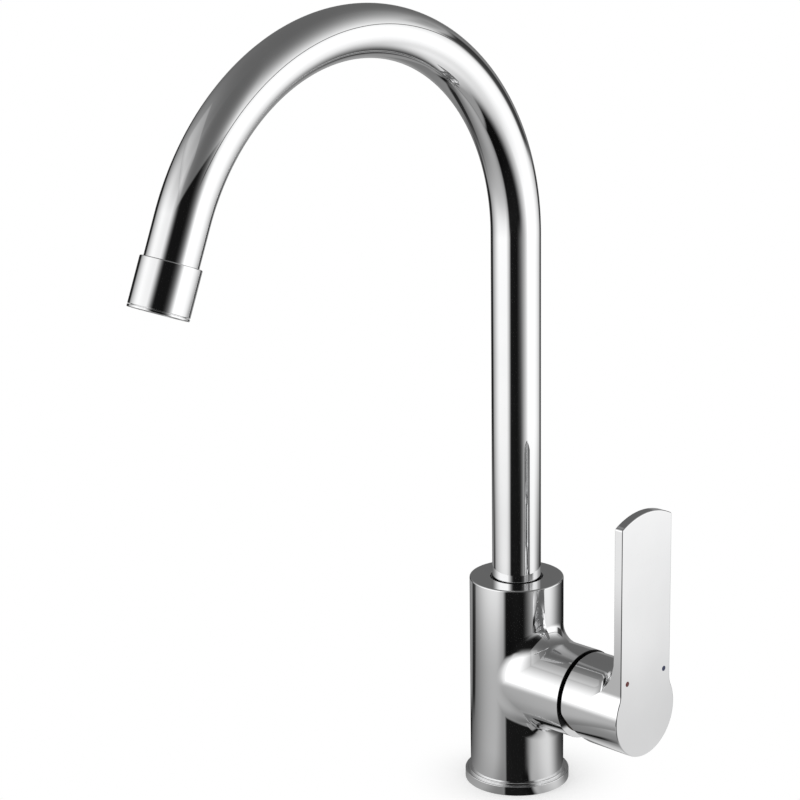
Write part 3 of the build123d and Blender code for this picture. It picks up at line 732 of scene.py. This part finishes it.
def hole_rows(radius, hole, hole_height, half_columns, half_rows, column, row, middle):
    """Turns, heights and angles of rows that go straight from a round hole in a cylinder to a rectangle."""
    across, up = rectangle(half_columns, half_rows)
    angle = np.arctan2(up / half_rows, across / half_columns)
    hole_turn = np.arcsin(hole * np.cos(angle) / radius)
    hole_edge = hole_height + hole * np.sin(angle)
    s = np.linspace(0, 1, 7)[:, None]
    turn = hole_turn + (across * column - hole_turn) * s
    return turn, hole_edge + (middle + up * row - hole_edge) * s, angle


def lock_patches():
    """Bands of the column's wall and of its bore round the lock screw's hole, and the hole's own wall."""
    bands = []
    lock_window = lock_half, lock_half_rows, turn_step, lock_row, lock_height
    for radius, out in ((column_radius, 1), (bore_radius, -1)):
        turn, h, angle = hole_rows(radius, lock_hole, lock_height, *lock_window)
        bands += [cylinder(radius, quarter + turn, h, out), wall_grid(radius, beside_lock, lock_rows, out)]
    facing = np.stack([np.cos(angle), 0 * angle, -np.sin(angle)], -1)
    return bands + [flat(np.stack([bands[0][0][0], bands[2][0][0]]), facing)]


print("lock screw's hole:", lock_hole * 2, "mm across")

# %% Threads in the foot
spigot_radius, spigot_foot, thread_top = 21.0, 0.6, 14.6
thread_places = {(3.0, -13.2): (4.5, 1.0), (3.0, 13.2): (4.5, 1.0), (-14.0, 0.0): (3.4, 1.25)}
thread_turns, thread_rows = 48, 112


def threaded_hole(x, y, radius, pitch):
    """Thread: the radius goes in and out by a third of the pitch, a wave of height over pitch less turn."""
    t = np.linspace(0, 2 * np.pi, thread_turns + 1)
    h = np.linspace(spigot_foot, thread_top, thread_rows + 1)[:, None]
    inside_ends = np.clip(np.minimum(h - spigot_foot, thread_top - h) / pitch, 0, 1)
    wave = 2 * np.pi * h / pitch - t
    ridge = pitch / 6 * inside_ends * np.cos(wave)
    wall = np.stack([x + (radius + ridge) * np.cos(t), y + (radius + ridge) * np.sin(t), h + 0 * t], -1)
    slope = -pitch / 6 * inside_ends * np.sin(wave) * 2 * np.pi / pitch
    facing = unit(np.stack([-np.cos(t) + 0 * h, -np.sin(t) + 0 * h, slope], -1))
    end = np.stack([np.broadcast_to([x, y, thread_top], wall[-1].shape), wall[-1]])
    return [(wall, facing), flat(end, (0, 0, -1))]


def foot_face():
    """Flat face of the spigot between its rim and the three holes, as triangles of a constrained net."""
    loops = [spigot_radius * circle(all_round[:-1])]
    small = np.arange(thread_turns) * 2 * np.pi / thread_turns
    loops += [np.array(place) + radius * circle(small) for place, (radius, _) in thread_places.items()]
    starts = np.cumsum([0] + [len(loop) for loop in loops])
    ways = [np.arange(len(loop)) for loop in loops]
    edges = np.vstack([np.stack([way, np.roll(way, -1)], -1) + first for way, first in zip(ways, starts)])
    points = [Vector(point) for point in np.vstack(loops).tolist()]
    net = delaunay_2d_cdt(points, edges.tolist(), [], 1, 1e-6)
    face = np.array([tuple(point) for point in net[0]])[np.array(net[2])]
    centre = face.mean(1)
    solid = np.linalg.norm(centre, axis=-1) < spigot_radius
    for place, (radius, _) in thread_places.items():
        solid &= np.linalg.norm(centre - place, axis=-1) > radius * 0.999
    face = face[solid]
    return flat(np.concatenate([face, np.full(face.shape[:2] + (1,), spigot_foot)], -1), (0, 0, -1))


print("threads in the foot:", len(thread_places))

# %% Rest of the casting
mouth_radius, mouth_floor, bore_floor = 13.1, 97.5, 70.75
rim_rounding, mouth_rounding, nut_rounding = 0.8, 0.2, 0.25
nut_bore, nut_floor, chamber_radius, chamber_floor = 18.95, 40.02, 17.65, 19.0
along_branch = np.array([(0, 0, 1), (1, 0, 0), (0, 1, 0)], float)
branch_origin = (0, 0, branch_height)


def arc_run(centre, radius, first, last, steps=6):
    """Arc of an outline, with angles counted from the radius axis; it faces away from its centre."""
    outward = circle(np.radians(np.linspace(first, last, steps + 1)))
    return np.array(centre) + radius * outward, outward


def line_runs(*corners):
    """Straight runs of an outline from corner to corner, each facing to the right of its way."""
    for points in np.stack([corners[:-1], corners[1:]], 1).astype(float):
        ahead = unit(points[1] - points[0])
        yield flat(points, (ahead[1], -ahead[0]))


def rim_runs(outer, outer_rounding, top, inner, inner_rounding, *inside):
    """Outline of a rim: rounded outer edge, flat top, rounded inner edge, straight lines down the inside."""
    return [
        arc_run((outer - outer_rounding, top - outer_rounding), outer_rounding, 0, 90),
        *line_runs((outer - outer_rounding, top), (inner + inner_rounding, top)),
        arc_run((inner + inner_rounding, top - inner_rounding), inner_rounding, 90, 180),
        *line_runs((inner, top - inner_rounding), *inside),
    ]


mouth_inside = (mouth_radius, mouth_floor), (bore_radius, mouth_floor), (bore_radius, lock_rows[-1])
nut_step = (nut_bore, nut_floor), (chamber_radius, nut_floor)
chamber = (chamber_radius, chamber_floor), (0, chamber_floor)
top_runs = [
    *rim_runs(column_radius, rim_rounding, column_top, mouth_radius, mouth_rounding, *mouth_inside),
    *line_runs((bore_radius, front_high), (bore_radius, bore_floor), (0, bore_floor)),
    *line_runs((spigot_radius, spigot_foot), (spigot_radius, ring_height), (column_radius, ring_height)),
]
end_runs = rim_runs(branch_radius, branch_edge, branch_end, nut_bore, nut_rounding, *nut_step, *chamber)
neck_facing = front[0][1][0]
branch_angle = np.arctan2(neck_facing[:, 2], neck_facing[:, 1])
behind = all_round[half_front:turns - half_front + 1]
casting_patches = [
    *front,
    wall_grid(column_radius, behind, np.linspace(front_low, front_high, rows_up + 1)),
    wall_grid(column_radius, all_round, np.linspace(lock_rows[-1], column_top - rim_rounding, 9)),
    *lock_patches(),
    *turned(top_runs),
    *turned(end_runs, along_branch, branch_origin, branch_angle),
]
for place, thread in thread_places.items():
    casting_patches += threaded_hole(*place, *thread)
make_piece("column_casting", casting_patches, "column", "valve_body", loose=[foot_face()])

# %% [markdown]
# Between branch and hub shows a narrow strip of a polished dome, a ball round the point that the lever tips
# about, and on that strip the chrome finish paints shade. It is turned as well: an outer arc, an inner arc
# and the flat land that sits on the cartridge's nut.

# %% Dome cap
pivot, dome_radius, dome_inside, dome_hole = 50.02, 18.7, 17.4, 12.5
dome_foot, collar_top, land_radius = 45.22, 48.22, 15.95


def ball_run(radius, start, end, out):
    """Arc of a ball's outline between two places along the branch, facing out or into the ball."""
    first, last = [math.degrees(math.asin((place - pivot) / radius)) for place in (start, end)]
    points, outward = arc_run((0, pivot), radius, first, last, 24)
    return points, out * outward


hole_outside = pivot + math.sqrt(dome_radius**2 - dome_hole**2)
hole_inside = pivot + math.sqrt(dome_inside**2 - dome_hole**2)
foot_radius = math.sqrt(dome_radius**2 - (dome_foot - pivot) ** 2)
step_radius = math.sqrt(dome_inside**2 - (collar_top - pivot) ** 2)
dome_runs = [
    *line_runs((land_radius, dome_foot), (foot_radius, dome_foot)),
    ball_run(dome_radius, dome_foot, hole_outside, 1),
    *line_runs((dome_hole, hole_outside), (dome_hole, hole_inside)),
    ball_run(dome_inside, hole_inside, collar_top, -1),
    *line_runs((step_radius, collar_top), (land_radius, collar_top), (land_radius, dome_foot)),
]
make_piece("dome_turned", turned(dome_runs, along_branch, branch_origin), "column", "dome_cap")

# %% [markdown]
# The lever is one casting too: a hub over the dome and an upright paddle that grows out of it. Seen from
# the front its outline is a keyhole of arcs and straight sides. Most patches follow it: the rounded front
# edge, the side wall, the back with its hollow root, and the hub with its slanted rear edge.

# %% Outline of the lever
hub_radius, hub_bore, hub_rear, hub_front, web = 21.5, 19.2, 47.52, 82.12, 69.12
half_width, paddle_rise, crown, paddle_thickness = 18.2, 101.1, 37.0, 4.7
neck_blend, corner_rounding = 12.0, 1.2
hub_steps, hollow_steps, side_steps, corner_steps, crown_steps = 78, 24, 12, 8, 32
paddle_back = hub_front - paddle_thickness
neck_across = half_width + neck_blend
neck_up = math.sqrt((hub_radius + neck_blend) ** 2 - neck_across**2)
neck_angle = math.degrees(math.atan2(neck_up, neck_across))
crown_centre = paddle_rise - crown
corner_across = half_width - corner_rounding
corner_up = crown_centre + math.sqrt((crown - corner_rounding) ** 2 - corner_across**2)
corner_angle = math.degrees(math.atan2(corner_up - crown_centre, corner_across))


def lever_outline():
    """Half outline from the hub's lowest point to the crown's highest, then mirrored: points and normals."""
    hub_arc = arc_run((0, 0), hub_radius, -90, neck_angle, hub_steps)
    hollow, inward = arc_run((neck_across, neck_up), neck_blend, 180 + neck_angle, 180, hollow_steps)
    up = np.linspace(neck_up, corner_up, side_steps + 1)
    side = flat(np.stack([np.full(side_steps + 1, half_width), up], -1), (1, 0))
    corner = arc_run((corner_across, corner_up), corner_rounding, 0, corner_angle, corner_steps)
    top = arc_run((0, crown_centre), crown, corner_angle, 90, crown_steps)
    runs = [(hollow, -inward), side, corner, top]
    for kind in range(2):
        half = np.vstack([hub_arc[kind], *[run[kind][1:] for run in runs]])
        yield np.vstack([half, (half * np.array([-1, 1]))[-2::-1]])


edge, edge_facing = lever_outline()
from_hub = np.linalg.norm(edge, axis=-1)
round_hub = edge / from_hub[:, None]
print("lever outline:", len(edge), "points,", round(from_hub.max(), 2), "mm reach")

# %% [markdown]
# Rows of points now run from the middle of the front face over the edge, down the wall, under the paddle
# and along the hub into its bore. The hole for the plug is a window in the hub's underside, like the one in
# the column.

# %% Front, wall and back of the paddle
front_edge, rear_edge, root_blend = 0.6, 0.4, 13.0
window_half, rows_above, rows_below, window_row = 8, 14, 1, 1.0
face_middle = np.array([0, 12.0])
cove_radius = hub_radius + root_blend
wall_start, hub_start = hub_front - front_edge, paddle_back - root_blend


def point_to(plane, depth):
    """Directions across and up, and along the branch, put into the frame, where the branch's axis is X."""
    return np.concatenate([np.broadcast_to(depth, plane.shape[:-1] + (1,)), plane], -1)


def lift(plane, depth):
    """The same for points, which also get the branch's height."""
    return point_to(plane + np.array([0, branch_height]), depth)


def ring_of(radius, depth, facing, depth_facing):
    """Ring round the hub at each outline point's own angle; all four values may change along it."""
    values = np.broadcast_arrays(radius, depth, facing, depth_facing)
    radius, depth, facing, depth_facing = [value[..., None] for value in values]
    return lift(radius * round_hub, depth), point_to(facing * round_hub, depth_facing)


def front_face():
    """Flat face: the outline drawn in by the front edge and shrunk to a point in the hub's upper half."""
    shrink = np.linspace(0, 1, 5)[:, None, None]
    plane = face_middle + (edge - front_edge * edge_facing - face_middle) * shrink
    return flat(lift(plane, hub_front), (1, 0, 0))


def edge_rounding(size, start, sense):
    """Quarter arc along the outline: drawn in by size (1 - cos q) while the depth goes on by size sin q."""
    q = np.linspace(0, np.pi / 2, 7)[:, None, None]
    size = np.broadcast_to(size, from_hub.shape)[:, None]
    plane = edge - size * (1 - np.cos(q)) * edge_facing
    depth = np.broadcast_to(start, from_hub.shape)[:, None] + sense * size * np.sin(q)
    return lift(plane, depth), point_to(np.cos(q) * edge_facing, sense * np.sin(q))


def cove_depth(radius):
    """Back of the paddle: a quarter hollow round the hub, and flat past it."""
    inner = np.minimum(radius, cove_radius) - cove_radius
    return hub_start + np.sqrt(np.maximum(root_blend**2 - inner**2, 0))


def smooth(value):
    """S curve from 0 to 1: t squared times (3 - 2 t)."""
    t = np.clip(value, 0, 1)
    return t * t * (3 - 2 * t)


def paddle_under():
    """Back of the paddle from the hub outwards: the hollow, then the flat up to the rounded rear edge."""
    rim = edge - rear_rounding[:, None] * edge_facing
    s = np.linspace(0, 1, 13)[:, None]
    flat_start = np.minimum(cove_radius, from_hub)
    radius = hub_radius + (flat_start - hub_radius) * (1 - np.cos(s * np.pi / 2))
    inward = (cove_radius - radius) / root_blend
    hollow = ring_of(radius, cove_depth(radius), inward, -np.sqrt(np.maximum(1 - inward**2, 0)))
    plane = s[..., None] * rim + (1 - s[..., None]) * flat_start[:, None] * round_hub
    plane = np.where((from_hub > cove_radius)[:, None], plane, rim)
    return [hollow, flat(lift(plane, back_depth[:, None]), (-1, 0, 0))]


fade_start, fade_length = 0.5, 3
rear_rounding = rear_edge * smooth((from_hub - cove_radius - fade_start) / fade_length)
back_depth = cove_depth(from_hub)
wall_end = back_depth + rear_rounding
wall_depths = np.array([wall_start, *(hub_start + window_row * np.arange(rows_above, -1, -1))])
wall_share = ((wall_start - wall_depths) / (wall_start - wall_depths[-1]))[:, None]
side_depth = (wall_start + (wall_end - wall_start) * wall_share)[..., None]
side_plane = np.broadcast_to(edge, side_depth.shape[:2] + (2,))
side_wall = flat(lift(side_plane, side_depth), point_to(edge_facing, 0))
print("side wall of the lever:", len(wall_depths), "rows")

# %% Hub of the lever
hub_edge = 0.3
relief_slope, relief_start, relief_knee = math.tan(math.radians(35)), 3.5, 0.4


def rear_of(radius):
    """Depth and slope of the hub's rear edge: level, then slanted below the relief's start, softly."""
    below = (-radius * round_hub[:, 1] - relief_start) / relief_knee
    knee = np.logaddexp(0, below) * relief_knee
    return hub_rear + relief_slope * knee, relief_slope / (1 + np.exp(-below))


def rim_arc(radius, side):
    """Rounded edge between a cylinder and the hub's rear face: a ball of the edge's size touches both.

    Its centre is one size inside the cylinder and one size, along the face's normal, in front of the face."""
    centre_radius = radius - side * hub_edge
    depth, slope = rear_of(centre_radius)
    steep = np.sqrt(1 + slope**2)
    face = np.stack([-1 / steep, 0 * slope, -slope / steep], -1)
    swung = swing_between(point_to(side * round_hub, 0), face, 6)
    return lift(centre_radius * round_hub, (depth + hub_edge * steep)[:, None]) + hub_edge * swung, swung


outer_rim, inner_rim = rim_arc(hub_radius, 1), rim_arc(hub_bore, -1)
rim_face = [np.stack([outer[-1], inner[-1]]) for outer, inner in zip(outer_rim, inner_rim)]
hub_levels = hub_start - window_row * np.arange(rows_below + 1)
hub_low = np.linspace(hub_levels[-1], outer_rim[0][0][:, 0], 9)[1:]
hub_wall = ring_of(hub_radius, np.vstack([np.tile(hub_levels[:, None], (1, len(edge))), hub_low]), 1, 0)
bore_wall = ring_of(hub_bore, np.linspace(inner_rim[0][0][:, 0], np.full(len(edge), web), 7), -1, 0)
web_face = ring_of(np.linspace(hub_bore, 0, 3)[:, None] + 0 * from_hub, web, 0, -1)
print("hub's relief:", round(outer_rim[0][..., 0].max() - outer_rim[0][..., 0].min(), 2), "mm deep")

# %% Lever
clamp_line, plug_hole, plug_depth = 73.32, 3.0, 3.7


def plug_window():
    """Window in the hub's underside with the plug's hole, and the hole's wall and floor."""
    step = math.radians(90 + neck_angle) / hub_steps
    middle = hub_start + window_row * (rows_above - rows_below) / 2
    window = window_half, (rows_above + rows_below) / 2, step, window_row, middle
    turn, depth, angle = hole_rows(hub_radius, plug_hole, clamp_line, *window)
    facing = np.stack([np.sin(turn), -np.cos(turn)], -1)
    wall = lift(hub_radius * facing, depth[..., None]), point_to(facing, 0)
    rim = wall[0][0]
    sunk = rim.copy()
    sunk[:, 2] = branch_height - (hub_radius - plug_depth)
    inward = np.stack([-np.sin(angle), -np.cos(angle), 0 * angle], -1)
    middle_point = np.broadcast_to([clamp_line, 0, sunk[0, 2]], sunk.shape)
    return [wall, flat(np.stack([rim, sunk]), inward), flat(np.stack([sunk, middle_point]), (0, 0, -1))]


def beside(patch, first, last):
    """A patch without some rows' cells at the plug's window, which lies at both ends of the outline."""
    kept = slice(window_half, len(edge) - window_half)
    pieces = (slice(first, last + 1), kept), (slice(0, first + 1),), (slice(last, None),)
    return [tuple(grid[cut] for grid in patch) for cut in pieces]


lever_patches = [
    front_face(),
    edge_rounding(front_edge, wall_start, 1),
    *beside(side_wall, 1, rows_above + 1),
    edge_rounding(rear_rounding, wall_end, -1),
    *paddle_under(),
    *beside(hub_wall, 0, rows_below),
    outer_rim,
    rim_face,
    inner_rim,
    bore_wall,
    web_face,
    *plug_window(),
]
make_piece("lever_casting", lever_patches, "lever", "lever_handle")

# %% [markdown]
# Two small dots of enamel say which way is hot and which is cold. They are poured into round seats, so they
# stand a little proud in the middle. A flat disc would vanish in the mirror of the lever's face.

# %% Hot and cold dots
dot_radius, dot_depth, dot_proud = 1.3, 0.6, 0.12
dot_across, dot_up = 13.6, 19.0


def enamel_dot(name, across, node, slot):
    """Dot on the lever's face: a low dome, proud (1 - r^2) above the face, on a wall with a floor."""
    t = np.linspace(0, 2 * np.pi, 49)
    r = np.linspace(0, 1, 9)[:, None]
    swell = hub_front + dot_proud * (1 - r**2) + 0 * t
    cap = lift(np.array([across, dot_up]) + dot_radius * r[..., None] * circle(t), swell[..., None])
    slope = 2 * dot_proud * r / dot_radius
    dome_facing = unit(np.stack([1 + 0 * r * t, slope * np.cos(t), slope * np.sin(t)], -1))
    low = cap.copy()
    low[..., 0] = hub_front - dot_depth
    wall = flat(np.stack([cap[-1], low[-1]]), point_to(circle(t), 0))
    make_piece(name, [(cap, dome_facing), wall, flat(low, (-1, 0, 0))], "lever", node, slot)


enamel_dot("hot_dot", -dot_across, "hot_mark", "hot_enamel")
enamel_dot("cold_dot", dot_across, "cold_mark", "cold_enamel")

# %% [markdown]

# %% End
print("the tap is dressed")
